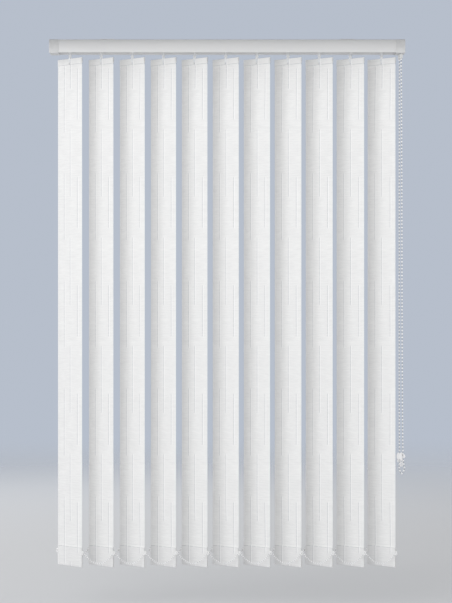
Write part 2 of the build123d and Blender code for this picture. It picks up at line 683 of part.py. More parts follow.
os.makedirs("parts", exist_ok=True)

save(headrail(), "headrail")
save(end_cap_left(), "end_cap_left")
save(end_cap_right(), "end_cap_right")
save(bearing_plate(1, FIT), "drive_bearing")
save(end_stop(), "end_stop")
save(tilt_rod(), "tilt_rod")
save(chain_wheel(), "chain_wheel")
save(chain_guide(), "chain_guide")
save(control_chain(), "control_chain")
save(chain_tidy(), "chain_tidy")
save(bracket(-BRACKET_SPACING / 2), "bracket_left")
save(bracket(BRACKET_SPACING / 2), "bracket_right")
save(bottom_chain(1, "front chain span"), "front_bottom_chain")
save(bottom_chain(-1, "rear chain span"), "rear_bottom_chain")

stem_blank = stem()
vane_blank = vane()
fittings_blank = solids_of(hanger(), weight())

for n, x in enumerate(vane_x):
    number = f"{n + 1:02d}"
    if n + 1 < VANE_COUNT:
        carrier_pieces = solids_of(carrier(n) + spacer_grips(n), spacer(n))
    else:
        carrier_pieces = carrier(n)
    save(carrier_pieces, f"carrier_{number}")
    save(at_vane(stem_blank, x), f"stem_{number}")
    save(at_vane(vane_blank, x), f"vane_{number}")
    save(at_vane(fittings_blank, x), f"fittings_{number}")
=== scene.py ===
"""Vertical blind: fabric vanes, bead chains, mouldings and finishes on the measured frame.

Metres, in the frame's own axes: +X to the right, -Y into the room, +Z up.
"""

import logging
import math
import random
from dataclasses import dataclass, field
from enum import Enum

import bmesh
import bpy
import numpy as np
from mathutils import Matrix, Vector


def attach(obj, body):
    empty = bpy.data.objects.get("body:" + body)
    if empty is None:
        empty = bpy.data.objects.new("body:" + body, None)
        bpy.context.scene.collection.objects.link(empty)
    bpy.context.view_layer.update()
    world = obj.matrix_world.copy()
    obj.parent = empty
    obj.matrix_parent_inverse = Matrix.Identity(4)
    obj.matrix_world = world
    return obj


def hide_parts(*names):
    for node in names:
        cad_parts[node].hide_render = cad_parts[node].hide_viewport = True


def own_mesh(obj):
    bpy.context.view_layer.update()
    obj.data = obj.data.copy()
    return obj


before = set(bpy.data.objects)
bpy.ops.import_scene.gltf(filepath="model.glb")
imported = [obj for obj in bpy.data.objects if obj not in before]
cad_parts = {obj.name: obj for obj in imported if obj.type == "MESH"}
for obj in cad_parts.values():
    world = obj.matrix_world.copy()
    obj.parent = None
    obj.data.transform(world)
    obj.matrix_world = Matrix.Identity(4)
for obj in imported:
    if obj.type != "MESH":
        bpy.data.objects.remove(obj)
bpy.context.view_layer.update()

LOG = logging.getLogger("vertical_blind")

Point = tuple[float, float, float]
Tone = tuple[float, float, float]
Socket = bpy.types.NodeSocket
Operand = bpy.types.NodeSocket | float
Setting = float | int | bool | str | tuple | bpy.types.ID

# the frame's own sizes, in metres
VANE_COUNT = 11
VANE_PITCH = 0.078
FIRST_STEM = -0.3935
TILT = math.radians(43.5)
VANE_TOP = -0.0472
VANE_LENGTH = 1.270
VANE_WIDTH = 0.089
TOP_POCKET = 0.015
BOTTOM_POCKET = 0.048
POCKET_HALF = 0.0012
SLOT_TOP = -0.0533
EYE_REACH = 0.0464
EYE_Z = -1.2815
WHEEL_CENTRE = Vector((0.4345, 0.009, -0.0185))
WHEEL_PITCH_RADIUS = 0.0112

CONTROL_ROUTE = [
    (0.4345, -0.0022, -0.0185),
    (0.4345, -0.0022, -0.0315),
    (0.4362, -0.0022, -0.0440),
    (0.4394, 0.0070, -1.0340),
    (0.4429, 0.0090, -1.0660),
    (0.4456, 0.0090, -1.0755),
    (0.4380, 0.0090, -1.0905),
    (0.4304, 0.0090, -1.0755),
    (0.4326, 0.0090, -1.0660),
    (0.4319, 0.0110, -1.0340),
    (0.4329, 0.0202, -0.0440),
    (0.4345, 0.0202, -0.0315),
    (0.4345, 0.0202, -0.0185),
]

# one span of a bottom chain from the eye of one vane to the next: along, down
SPAN_ROUTE = [
    (0.0037, 0.0010),
    (0.0105, 0.0100),
    (0.0230, 0.0212),
    (0.0405, 0.0274),
    (0.0572, 0.0212),
    (0.0685, 0.0100),
    (0.0743, 0.0010),
]


# nodes whose look is strung again from beads
RESTRUNG = ("control_chain", "front_bottom_chain", "rear_bottom_chain")


class Side(Enum):
    """The two edges of a vane: the one towards the room and the one towards the window."""

    FRONT = 1
    REAR = -1


# ------------------------------------------------------------------ operator helpers
def deselect() -> None:
    """Leaves object mode and deselects everything."""
    if bpy.context.object and bpy.context.object.mode != "OBJECT":
        bpy.ops.object.mode_set(mode="OBJECT")
    bpy.ops.object.select_all(action="DESELECT")


def activate(piece: bpy.types.Object) -> None:
    """Makes one object the only selected and active one.

    Args:
        piece: the object to work on.
    """
    deselect()
    piece.select_set(True)
    bpy.context.view_layer.objects.active = piece


def named(name: str) -> bpy.types.Object:
    """Names the object that an operator has just added.

    Args:
        name: the piece's name.

    Returns:
        The object.
    """
    piece = bpy.context.object
    piece.name = name
    piece.data.name = name
    return piece


def apply_modifier(piece: bpy.types.Object, kind: str, **settings: Setting) -> None:
    """Adds a modifier, sets it and applies it.

    Args:
        piece: the object that takes it.
        kind: the modifier's type.
        settings: its properties.
    """
    activate(piece)
    modifier = piece.modifiers.new(kind.title(), kind)
    for key, value in settings.items():
        setattr(modifier, key, value)
    bpy.ops.object.modifier_apply(modifier=modifier.name)


def settle(piece: bpy.types.Object, place: Matrix) -> None:
    """Puts a piece's place into its mesh and leaves its object at the origin.

    Args:
        piece: the object.
        place: where the mesh goes, after the object's own place.
    """
    piece.data.transform(place @ piece.matrix_basis)
    piece.matrix_basis = Matrix.Identity(4)
    piece.data.update()


def copy_of(blank: bpy.types.Object, name: str, place: Matrix) -> bpy.types.Object:
    """A copy with its own mesh, moved to its place.

    Args:
        blank: the piece that was modelled once.
        name: the copy's name.
        place: where it goes.

    Returns:
        The copy.
    """
    piece = bpy.data.objects.new(name, blank.data.copy())
    piece.data.name = name
    bpy.context.scene.collection.objects.link(piece)
    piece.data.transform(place)
    piece.data.update()
    return piece


def discard(*blanks: bpy.types.Object) -> None:
    """Removes pieces that were only modelled to be copied.

    Args:
        blanks: the objects.
    """
    for blank in blanks:
        mesh = blank.data
        bpy.data.objects.remove(blank)
        if mesh.users == 0:
            bpy.data.meshes.remove(mesh)


def smooth(piece: bpy.types.Object, angle: float = 40.0) -> None:
    """Smooths a piece's shading, but for edges sharper than the angle.

    Args:
        piece: the object.
        angle: in degrees.
    """
    activate(piece)
    bpy.ops.object.shade_smooth_by_angle(angle=math.radians(angle))


def nurbs(points: list[Point], name: str) -> bpy.types.Object:
    """A smooth open NURBS curve with the points as its control points.

    Args:
        points: the route.
        name: the curve's name.

    Returns:
        The curve object.
    """
    data = bpy.data.curves.new(name, "CURVE")
    data.dimensions = "3D"
    data.resolution_u = 24
    spline = data.splines.new("NURBS")
    spline.points.add(len(points) - 1)
    for spot, place in zip(spline.points, points):
        spot.co = (*place, 1.0)
    spline.order_u = 3
    spline.use_endpoint_u = True
    piece = bpy.data.objects.new(name, data)
    bpy.context.scene.collection.objects.link(piece)
    return piece


def followed(points: list[Point]) -> list[Vector]:
    """Closely spaced points on the smooth line of a route.

    Args:
        points: the route's control points.

    Returns:
        Points in order along the line.
    """
    guide = nurbs(points, "guide")
    bpy.context.view_layer.update()
    mesh = bpy.data.meshes.new_from_object(guide)
    line = [vertex.co.copy() for vertex in mesh.vertices]
    bpy.data.meshes.remove(mesh)
    data = guide.data
    bpy.data.objects.remove(guide)
    bpy.data.curves.remove(data)
    return line


def stepped(line: list[Vector], pitch: float) -> list[tuple[Vector, Vector]]:
    """Even steps along a line, centred between its ends.

    Args:
        line: points in order.
        pitch: the wanted distance between steps.

    Returns:
        Each step's place and its direction.
    """
    runs = [(b - a).length for a, b in zip(line, line[1:])]
    total = sum(runs)
    count = max(2, round(total / pitch))
    marks = [(n + 0.5) * total / count for n in range(count)]
    steps = []
    travelled = 0.0
    index = 0
    for mark in marks:
        while index < len(runs) - 1 and travelled + runs[index] < mark:
            travelled += runs[index]
            index += 1
        share = (mark - travelled) / max(runs[index], 1e-9)
        along = (line[index + 1] - line[index]).normalized()
        steps.append((line[index].lerp(line[index + 1], share), along))
    return steps


# ------------------------------------------------------------------ shader groups and finishes
@dataclass(frozen=True)
class Graph:
    """A node tree with short ways to add and join nodes."""

    tree: bpy.types.NodeTree

    def add(self, kind: str, **values: Setting) -> bpy.types.Node:
        """Adds a node.

        Args:
            kind: the node's type.
            values: its properties, or its inputs' values where the name starts with a capital.

        Returns:
            The node.
        """
        node = self.tree.nodes.new(kind)
        for key, value in values.items():
            if key[0].isupper():
                node.inputs[key.replace("_", " ")].default_value = value
            else:
                setattr(node, key, value)
        return node

    def join(self, source: Socket, target: Socket) -> None:
        """Joins an output to an input."""
        self.tree.links.new(source, target)

    def maths(self, operation: str, first: Operand, second: Operand = 0.0) -> Socket:
        """A Math node.

        Args:
            operation: what it does.
            first: a socket or a number.
            second: a socket or a number.

        Returns:
            Its output.
        """
        node = self.add("ShaderNodeMath", operation=operation)
        for value, target in ((first, node.inputs[0]), (second, node.inputs[1])):
            if isinstance(value, bpy.types.NodeSocket):
                self.join(value, target)
            else:
                target.default_value = value
        return node.outputs[0]

    def ramp(
        self, source: Socket, low: float, high: float, bottom: float = 0.0, top: float = 1.0
    ) -> Socket:
        """Maps a value's range onto another, smoothly and clamped.

        Args:
            source: the value.
            low: where the result is bottom.
            high: where the result is top.
            bottom: the first result.
            top: the last result.

        Returns:
            The result's socket.
        """
        node = self.add("ShaderNodeMapRange", interpolation_type="SMOOTHSTEP")
        node.inputs["From Min"].default_value = low
        node.inputs["From Max"].default_value = high
        node.inputs["To Min"].default_value = bottom
        node.inputs["To Max"].default_value = top
        self.join(source, node.inputs["Value"])
        return node.outputs["Result"]


class ShaderGroups:
    """Effects that several finishes share, each built once as a node group."""

    def __init__(self) -> None:
        """Builds the groups."""
        self.mottle = self._mottle()
        self.dust = self._dust()

    def _new(self, name: str, inputs: dict[str, float], outputs: list[str]) -> tuple[bpy.types.NodeTree, Graph]:
        """Starts a group with a vector input, named values and named results.

        Args:
            name: the group's name.
            inputs: values and their defaults.
            outputs: results.

        Returns:
            The tree and its graph.
        """
        tree = bpy.data.node_groups.new(name, "ShaderNodeTree")
        tree.interface.new_socket("Vector", in_out="INPUT", socket_type="NodeSocketVector")
        for key, value in inputs.items():
            socket = tree.interface.new_socket(key, in_out="INPUT", socket_type="NodeSocketFloat")
            socket.default_value = value
        for key in outputs:
            tree.interface.new_socket(key, in_out="OUTPUT", socket_type="NodeSocketFloat")
        return tree, Graph(tree)

    def _mottle(self) -> bpy.types.NodeTree:
        """Cloudy change of tone and a fine grain, as on moulded and painted surfaces.

        Returns:
            The group.
        """
        tree, graph = self._new("mottle", {"Cloud": 30.0, "Grain": 900.0}, ["Tone", "Relief"])
        start = graph.add("NodeGroupInput")
        end = graph.add("NodeGroupOutput")
        cloud = graph.add("ShaderNodeTexNoise", Detail=4.0, Roughness=0.6)
        grain = graph.add("ShaderNodeTexNoise", Detail=3.0, Roughness=0.55)
        for node, scale in ((cloud, "Cloud"), (grain, "Grain")):
            graph.join(start.outputs["Vector"], node.inputs["Vector"])
            graph.join(start.outputs[scale], node.inputs["Scale"])
        graph.join(graph.ramp(cloud.outputs["Fac"], 0.32, 0.68), end.inputs["Tone"])
        graph.join(grain.outputs["Fac"], end.inputs["Relief"])
        return tree

    def _dust(self) -> bpy.types.NodeTree:
        """A thin broken film of dust on faces that look up.

        Returns:
            The group.
        """
        tree, graph = self._new("settled_dust", {"Spread": 70.0}, ["Mask"])
        start = graph.add("NodeGroupInput")
        end = graph.add("NodeGroupOutput")
        surface = graph.add("ShaderNodeNewGeometry")
        split = graph.add("ShaderNodeSeparateXYZ")
        graph.join(surface.outputs["Normal"], split.inputs[0])
        upward = graph.ramp(split.outputs["Z"], 0.35, 0.95)
        patch = graph.add("ShaderNodeTexNoise", Detail=5.0, Roughness=0.65)
        graph.join(start.outputs["Vector"], patch.inputs["Vector"])
        graph.join(start.outputs["Spread"], patch.inputs["Scale"])
        broken = graph.ramp(patch.outputs["Fac"], 0.35, 0.7)
        graph.join(graph.maths("MULTIPLY", upward, broken), end.inputs["Mask"])
        return tree


@dataclass(frozen=True)
class Finish:
    """A moulded, painted or metal surface: tone that drifts, grain that catches light, settled dust."""

    name: str
    colour: Tone
    deep: Tone
    roughness: float
    rough_drift: float
    cloud: float
    grain: float
    relief: float
    coat: float = 0.0
    metallic: float = 0.0
    stretch: Point = (1.0, 1.0, 1.0)
    dust: float = 0.25

    def material(self, groups: ShaderGroups) -> bpy.types.Material:
        """Builds the material.

        Args:
            groups: the shared node groups.

        Returns:
            The material.
        """
        made = bpy.data.materials.new(self.name)
        made.use_nodes = True
        graph = Graph(made.node_tree)
        shader = made.node_tree.nodes["Principled BSDF"]
        place = graph.add("ShaderNodeTexCoord")
        mapping = graph.add("ShaderNodeMapping", Scale=self.stretch)
        graph.join(place.outputs["Object"], mapping.inputs["Vector"])
        mottle = graph.add("ShaderNodeGroup", node_tree=groups.mottle, Cloud=self.cloud, Grain=self.grain)
        graph.join(mapping.outputs["Vector"], mottle.inputs["Vector"])
        dust = graph.add("ShaderNodeGroup", node_tree=groups.dust)
        graph.join(place.outputs["Object"], dust.inputs["Vector"])
        tone = graph.add("ShaderNodeMix", data_type="RGBA")
        tone.inputs["A"].default_value = (*self.deep, 1.0)
        tone.inputs["B"].default_value = (*self.colour, 1.0)
        graph.join(mottle.outputs["Tone"], tone.inputs["Factor"])
        film = graph.add("ShaderNodeMix", data_type="RGBA")
        film.inputs["B"].default_value = (0.42, 0.4, 0.37, 1.0)
        graph.join(graph.maths("MULTIPLY", dust.outputs["Mask"], self.dust), film.inputs["Factor"])
        graph.join(tone.outputs["Result"], film.inputs["A"])
        graph.join(film.outputs["Result"], shader.inputs["Base Color"])
        rough = graph.ramp(mottle.outputs["Tone"], 0.0, 1.0, self.roughness + self.rough_drift, self.roughness)
        dulled = graph.maths("MAXIMUM", rough, graph.maths("MULTIPLY", dust.outputs["Mask"], 0.8 * self.dust))
        graph.join(dulled, shader.inputs["Roughness"])
        bump = graph.add("ShaderNodeBump", Strength=self.relief, Distance=0.0002)
        graph.join(mottle.outputs["Relief"], bump.inputs["Height"])
        graph.join(bump.outputs["Normal"], shader.inputs["Normal"])
        shader.inputs["Metallic"].default_value = self.metallic
        shader.inputs["Coat Weight"].default_value = self.coat
        shader.inputs["Coat Roughness"].default_value = 0.25
        return made


@dataclass(frozen=True)
class ClothFinish:
    """A thin white slub fabric, patterned on its own UV map, in metres."""

    name: str
    weave: Tone
    shade: Tone
    # thread: the painted shadow tone of the dark line beside each raised slub thread, and the welds' own tone
    thread: Tone
    slubs: tuple[tuple[float, float, float], ...]
    slub_period: float = 0.2705

    def material(self) -> bpy.types.Material:
        """Builds the material: fine ribs, broken cross streaks and dashed slub threads, each drawn with a
        painted shadow and a painted highlight.

        Returns:
            The material.
        """
        made = bpy.data.materials.new(self.name)
        made.use_nodes = True
        graph = Graph(made.node_tree)
        shader = made.node_tree.nodes["Principled BSDF"]
        flat = graph.add("ShaderNodeUVMap", uv_map="cloth")
        split = graph.add("ShaderNodeSeparateXYZ")
        graph.join(flat.outputs["UV"], split.inputs[0])
        across, down = split.outputs["X"], split.outputs["Y"]
        dark, bright = self._slub_lines(graph, flat, across, down)
        streak = self._streaks(graph, flat)
        weave = self._weave(graph, across, down)
        cloud = graph.add("ShaderNodeTexNoise", Scale=22.0, Detail=5.0, Roughness=0.6)
        graph.join(flat.outputs["UV"], cloud.inputs["Vector"])
        seam, pocket = self._seams(graph, flat, down)
        dark = graph.maths("MAXIMUM", dark, seam)
        tone = graph.add("ShaderNodeMix", data_type="RGBA")
        tone.inputs["A"].default_value = (*self.shade, 1.0)
        tone.inputs["B"].default_value = (*self.weave, 1.0)
        lightness = graph.maths("ADD", graph.ramp(cloud.outputs["Fac"], 0.3, 0.7, 0.5, 0.68), streak)
        lightness = graph.maths("ADD", lightness, graph.maths("MULTIPLY", weave, 0.14))
        lightness = graph.maths("SUBTRACT", lightness, graph.maths("MULTIPLY", pocket, 0.28))
        clamped = graph.maths("MINIMUM", graph.maths("MAXIMUM", lightness, 0.0), 1.0)
        graph.join(clamped, tone.inputs["Factor"])
        # painted shadow beside the raised slub threads, and the welds, drawn in the thread tone
        drawn = graph.add("ShaderNodeMix", data_type="RGBA")
        drawn.inputs["B"].default_value = (*self.thread, 1.0)
        graph.join(dark, drawn.inputs["Factor"])
        graph.join(tone.outputs["Result"], drawn.inputs["A"])
        # painted highlight along the raised slub threads, drawn near white
        lit = graph.add("ShaderNodeMix", data_type="RGBA")
        lit.inputs["B"].default_value = (0.97, 0.97, 0.97, 1.0)
        graph.join(bright, lit.inputs["Factor"])
        graph.join(drawn.outputs["Result"], lit.inputs["A"])
        graph.join(lit.outputs["Result"], shader.inputs["Base Color"])
        graph.join(graph.ramp(cloud.outputs["Fac"], 0.3, 0.7, 0.94, 0.8), shader.inputs["Roughness"])
        relief = graph.maths("ADD", graph.maths("MULTIPLY", weave, 0.5), graph.maths("MULTIPLY", streak, 1.4))
        relief = graph.maths("ADD", relief, graph.maths("MULTIPLY", bright, 1.6))
        relief = graph.maths("SUBTRACT", relief, graph.maths("MULTIPLY", dark, 1.2))
        bump = graph.add("ShaderNodeBump", Strength=0.35, Distance=0.0004)
        graph.join(relief, bump.inputs["Height"])
        graph.join(bump.outputs["Normal"], shader.inputs["Normal"])
        shader.inputs["Sheen Weight"].default_value = 0.12
        shader.inputs["Sheen Roughness"].default_value = 0.5
        shader.inputs["Specular IOR Level"].default_value = 0.2
        return made

    def _slub_lines(
        self, graph: Graph, flat: bpy.types.Node, across: Socket, down: Socket
    ) -> tuple[Socket, Socket]:
        """Dashed thick threads that run down the cloth, each drawn as a painted shadow line with a painted
        highlight line beside it.

        Args:
            graph: the material's graph.
            flat: the UV Map node.
            across: the distance across the cloth.
            down: the distance down the cloth.

        Returns:
            The masks of the painted shadow lines and of the painted highlight lines.
        """
        wander = graph.add("ShaderNodeTexNoise", Scale=9.0, Detail=2.0)
        stretched = graph.add("ShaderNodeMapping", Scale=(6.0, 1.0, 1.0))
        graph.join(flat.outputs["UV"], stretched.inputs["Vector"])
        graph.join(stretched.outputs["Vector"], wander.inputs["Vector"])
        drift = graph.maths("MULTIPLY", graph.maths("SUBTRACT", wander.outputs["Fac"], 0.5), 0.0009)
        patchy = graph.add("ShaderNodeTexNoise", Scale=260.0, Detail=2.0)
        graph.join(flat.outputs["UV"], patchy.inputs["Vector"])
        worn = graph.ramp(patchy.outputs["Fac"], 0.25, 0.6, 0.45, 1.0)
        dark = bright = None
        for place, start, share in self.slubs:
            moved = graph.maths("SUBTRACT", down, start)
            cycle = graph.maths("FRACT", graph.maths("DIVIDE", moved, self.slub_period))
            ends = 0.02
            rise = graph.ramp(cycle, 0.0, ends)
            fall = graph.ramp(cycle, share, share + ends, 1.0, 0.0)
            present = graph.maths("MULTIPLY", graph.maths("MULTIPLY", rise, fall), worn)
            offset = graph.maths("SUBTRACT", graph.maths("ADD", across, drift), place)
            # the first line is painted shadow beside the raised thread, the second a painted highlight on it
            for shift, half in ((0.0, 0.0011), (0.0024, 0.0014)):
                gap = graph.maths("ABSOLUTE", graph.maths("SUBTRACT", offset, shift))
                line = graph.maths("MULTIPLY", graph.ramp(gap, half * 0.45, half, 1.0, 0.0), present)
                if shift:
                    bright = line if bright is None else graph.maths("MAXIMUM", bright, line)
                else:
                    dark = line if dark is None else graph.maths("MAXIMUM", dark, line)
        return graph.maths("MULTIPLY", dark, 0.62), graph.maths("MULTIPLY", bright, 0.9)

    def _seams(self, graph: Graph, flat: bpy.types.Node, down: Socket) -> tuple[Socket, Socket]:
        """The welded lines that close the pockets, a little broken, and the double cloth of the pockets.

        Args:
            graph: the material's graph.
            flat: the UV Map node.
            down: the distance down from the fixing plane.

        Returns:
            The masks of the welds and of the pockets, where the upper one shows less.
        """
        broken = graph.add("ShaderNodeTexNoise", Scale=170.0, Detail=2.0)
        graph.join(flat.outputs["UV"], broken.inputs["Vector"])
        kept = graph.ramp(broken.outputs["Fac"], 0.3, 0.55, 0.35, 1.0)
        upper = -VANE_TOP + TOP_POCKET
        lower = -VANE_TOP + VANE_LENGTH - BOTTOM_POCKET
        welds = None
        for place in (upper, lower):
            gap = graph.maths("ABSOLUTE", graph.maths("SUBTRACT", down, place))
            line = graph.ramp(gap, 0.0004, 0.0011, 1.0, 0.0)
            welds = line if welds is None else graph.maths("MAXIMUM", welds, line)
        upper_pocket = graph.ramp(down, upper - 0.0004, upper + 0.0004, 1.0, 0.0)
        lower_pocket = graph.ramp(down, lower - 0.0004, lower + 0.0004)
        pockets = graph.maths("ADD", graph.maths("MULTIPLY", upper_pocket, 0.4), lower_pocket)
        return graph.maths("MULTIPLY", graph.maths("MULTIPLY", welds, kept), 0.5), pockets

    def _streaks(self, graph: Graph, flat: bpy.types.Node) -> Socket:
        """Short uneven cross threads, a few millimetres apart.

        Args:
            graph: the material's graph.
            flat: the UV Map node.

        Returns:
            A value either side of zero.
        """
        wide = graph.add("ShaderNodeMapping", Scale=(30.0, 330.0, 1.0))
        graph.join(flat.outputs["UV"], wide.inputs["Vector"])
        noise = graph.add("ShaderNodeTexNoise", Scale=1.0, Detail=3.0, Roughness=0.7)
        graph.join(wide.outputs["Vector"], noise.inputs["Vector"])
        return graph.maths("MULTIPLY", graph.maths("SUBTRACT", noise.outputs["Fac"], 0.5), 1.25)

    def _weave(self, graph: Graph, across: Socket, down: Socket) -> Socket:
        """The plain weave: ribs across and down, under a millimetre apart.

        Args:
            graph: the material's graph.
            across: the distance across the cloth.
            down: the distance down the cloth.

        Returns:
            A value from -1 to 1.
        """
        ribs = graph.maths("SINE", graph.maths("MULTIPLY", down, 2 * math.pi / 0.0011))
        warp = graph.maths("SINE", graph.maths("MULTIPLY", across, 2 * math.pi / 0.0008))
        return graph.maths("MULTIPLY", ribs, warp)


class Palette:
    """All the finishes of the blind, built once."""

    def __init__(self) -> None:
        """Builds the materials."""
        groups = ShaderGroups()
        white = (0.80, 0.80, 0.79)
        self.rail = Finish(
            "rail_white", (0.74, 0.745, 0.745), (0.70, 0.705, 0.71), 0.32, 0.08, 9.0, 1600.0, 0.10,
            coat=0.25, stretch=(0.25, 1.0, 1.0)
        ).material(groups)
        self.cap = Finish(
            "cap_white", (0.68, 0.685, 0.685), (0.62, 0.625, 0.63), 0.42, 0.10, 60.0, 1400.0, 0.14
        ).material(groups)
        self.moulded = Finish(
            "moulded_white", white, (0.70, 0.71, 0.71), 0.45, 0.12, 110.0, 2400.0, 0.12
        ).material(groups)
        self.hook = Finish(
            "hook_white", (0.82, 0.83, 0.84), (0.68, 0.70, 0.72), 0.40, 0.12, 160.0, 3000.0, 0.12
        ).material(groups)
        self.chain = Finish(
            "chain_white", (0.97, 0.97, 0.97), (0.92, 0.92, 0.925), 0.22, 0.14, 210.0, 4000.0, 0.06, coat=0.4
        ).material(groups)
        # the cord is drawn mid grey, partly its own colour and partly painted shade in the gaps between the
        # beads
        self.thread = Finish(
            "chain_thread_gap_shade", (0.44, 0.45, 0.46), (0.34, 0.35, 0.36), 0.6, 0.10, 300.0, 5000.0, 0.2
        ).material(groups)
        self.tidy = Finish(
            "tidy_white", (0.97, 0.97, 0.97), (0.90, 0.90, 0.91), 0.24, 0.10, 90.0, 2600.0, 0.06, coat=0.5
        ).material(groups)
        self.steel = Finish(
            "bracket_steel", (0.66, 0.67, 0.67), (0.52, 0.53, 0.54), 0.36, 0.14, 80.0, 1800.0, 0.10, metallic=0.3
        ).material(groups)
        self.rod = Finish(
            "rod_aluminium", (0.72, 0.73, 0.74), (0.55, 0.56, 0.58), 0.28, 0.16, 40.0, 1200.0, 0.14,
            metallic=1.0, stretch=(0.05, 1.0, 1.0),
        ).material(groups)
        # the cloth's third tone is painted shadow for the dark slub lines, and the welds' own tone
        self.cloth = ClothFinish(
            "cloth_white", (0.90, 0.90, 0.89), (0.74, 0.74, 0.74), (0.44, 0.45, 0.47),
            ((0.0249, 0.060, 0.62), (0.0472, -0.048, 0.62), (0.0730, -0.199, 0.47)),
        ).material()


def dress(piece: bpy.types.Object, *materials: bpy.types.Material) -> None:
    """Gives a piece its materials, in the order of its faces' numbers.

    Args:
        piece: the object.
        materials: its finishes.
    """
    numbers = [face.material_index for face in piece.data.polygons]
    piece.data.materials.clear()
    for material in materials:
        piece.data.materials.append(material)
    piece.data.polygons.foreach_set("material_index", [min(n, len(materials) - 1) for n in numbers])


# ------------------------------------------------------------------ vanes
@dataclass
class Vanes:
    """The eleven strips of cloth, each folded round its hanger and its weight and welded."""

    cloth: bpy.types.Material
    across: int = 24
    down: int = 150
    layer: float = 0.00045
    crown: float = 0.0016
    pieces: list[bpy.types.Object] = field(default_factory=list)

    def profile(self, along: float) -> tuple[float, float]:
        """Where the cloth runs, seen from its edge, from the back of the top pocket to the bottom one.

        Args:
            along: the distance along the flat strip, from its upper end.

        Returns:
            The offset to the back and the height.
        """
        bottom = VANE_TOP - VANE_LENGTH
        rim = POCKET_HALF
        turn = math.pi * rim
        back_top = TOP_POCKET - rim
        front = VANE_LENGTH - 2 * rim
        if along < back_top:
            rise = along / back_top
            open_share = min(1.0, along / 0.003)
            return rim * open_share, VANE_TOP - TOP_POCKET + rise * back_top
        if along < back_top + turn:
            angle = (along - back_top) / rim
            return rim * math.cos(angle), VANE_TOP - rim + rim * math.sin(angle)
        if along < back_top + turn + front:
            drop = along - back_top - turn
            level = VANE_TOP - rim - drop
            pinch_top = VANE_TOP - TOP_POCKET
            pinch_low = bottom + BOTTOM_POCKET
            inward = 1.0
            if pinch_low < level < pinch_top:
                inward = max(0.0, 1.0 - min(pinch_top - level, level - pinch_low) / 0.004)
            return -rim * (0.2 + 0.8 * inward), level
        past = along - back_top - turn - front
        if past < turn:
            angle = past / rim
            return -rim * math.cos(angle), bottom + rim - rim * math.sin(angle)
        rise = past - turn
        left = BOTTOM_POCKET - rim - rise
        return rim * min(1.0, max(0.0, left / 0.003)), bottom + rim + rise

    def flat_length(self) -> float:
        """The length that the strip was cut to, both pockets included."""
        folds = 2 * math.pi * POCKET_HALF
        return TOP_POCKET + VANE_LENGTH + BOTTOM_POCKET - 4 * POCKET_HALF + folds

    def levels(self) -> list[float]:
        """Distances along the strip at which it has a row of points: close together at folds and welds."""
        total = self.flat_length()
        marks = [total * n / self.down for n in range(self.down + 1)]
        rim = POCKET_HALF
        first = TOP_POCKET - rim
        last = total - (BOTTOM_POCKET - rim)
        turn = math.pi * rim
        for start in (first, last - turn):
            marks += [start + turn * n / 6 for n in range(7)]
        seams = [0.0015, 0.003, total - 0.003, total - 0.0015]
        top_seam = first + turn + TOP_POCKET - rim
        low_seam = last - turn - BOTTOM_POCKET + rim
        seams += [top_seam + 0.001 * n for n in range(-1, 6)]
        seams += [low_seam - 0.001 * n for n in range(-1, 6)]
        marks = sorted(marks + seams)
        kept = [marks[0]]
        for mark in marks[1:]:
            if mark - kept[-1] > 0.0003:
                kept.append(mark)
        return kept

    def blank(self) -> bpy.types.Object:
        """Models one vane in the closed plane, from a flat grid that is folded row by row.

        Returns:
            The blank, with its cloth UV map in metres.
        """
        deselect()
        rows = self.levels()
        bpy.ops.mesh.primitive_grid_add(x_subdivisions=self.across, y_subdivisions=len(rows) - 1, size=1.0)
        piece = named("vane_blank")
        mesh = piece.data
        width = VANE_WIDTH
        uv = mesh.uv_layers.active or mesh.uv_layers.new(name="cloth")
        uv.name = "cloth"
        flats = []
        for vertex in mesh.vertices:
            share = vertex.co.x + 0.5
            row = round((vertex.co.y + 0.5) * (len(rows) - 1))
            along = rows[row]
            y, z = self.profile(along)
            crown = self.crown * (1.0 - (2 * share - 1.0) ** 2) * self.crown_share(z)
            flats.append((share * width, z))
            vertex.co = ((share - 0.5) * width, y - crown, z)
        for loop in mesh.loops:
            uv.data[loop.index].uv = (flats[loop.vertex_index][0], -flats[loop.vertex_index][1])
        mesh.update()
        self.cut_slot(piece)
        apply_modifier(piece, "SOLIDIFY", thickness=self.layer, offset=0.0, use_even_offset=True)
        smooth(piece, 50.0)
        return piece

    def crown_share(self, z: float) -> float:
        """How far the cloth is let go from its stiff hanger and weight, which keep it flat.

        Args:
            z: the height.

        Returns:
            0 on the stiff plates to 1 well away from them.
        """
        below_top = VANE_TOP - TOP_POCKET - z
        above_bottom = z - (VANE_TOP - VANE_LENGTH + BOTTOM_POCKET)
        near = max(0.0, min(below_top, above_bottom))
        share = min(1.0, near / 0.12)
        return share * share * (3 - 2 * share)

    def cut_slot(self, piece: bpy.types.Object) -> None:
        """Opens the slot for the hook through both layers of the top pocket.

        Args:
            piece: the folded cloth.
        """
        activate(piece)
        bpy.ops.object.mode_set(mode="EDIT")
        bpy.ops.mesh.select_all(action="DESELECT")
        shape = bmesh.from_edit_mesh(piece.data)
        half = VANE_WIDTH / self.across * 0.8
        for face in shape.faces:
            centre = face.calc_center_median()
            inside = SLOT_TOP - 0.0065 < centre.z < SLOT_TOP - 0.0003
            if abs(centre.x) < half and inside:
                face.select = True
        chosen = [face for face in shape.faces if face.select]
        bmesh.update_edit_mesh(piece.data)
        if chosen:
            bpy.ops.mesh.delete(type="FACE")
        bpy.ops.object.mode_set(mode="OBJECT")

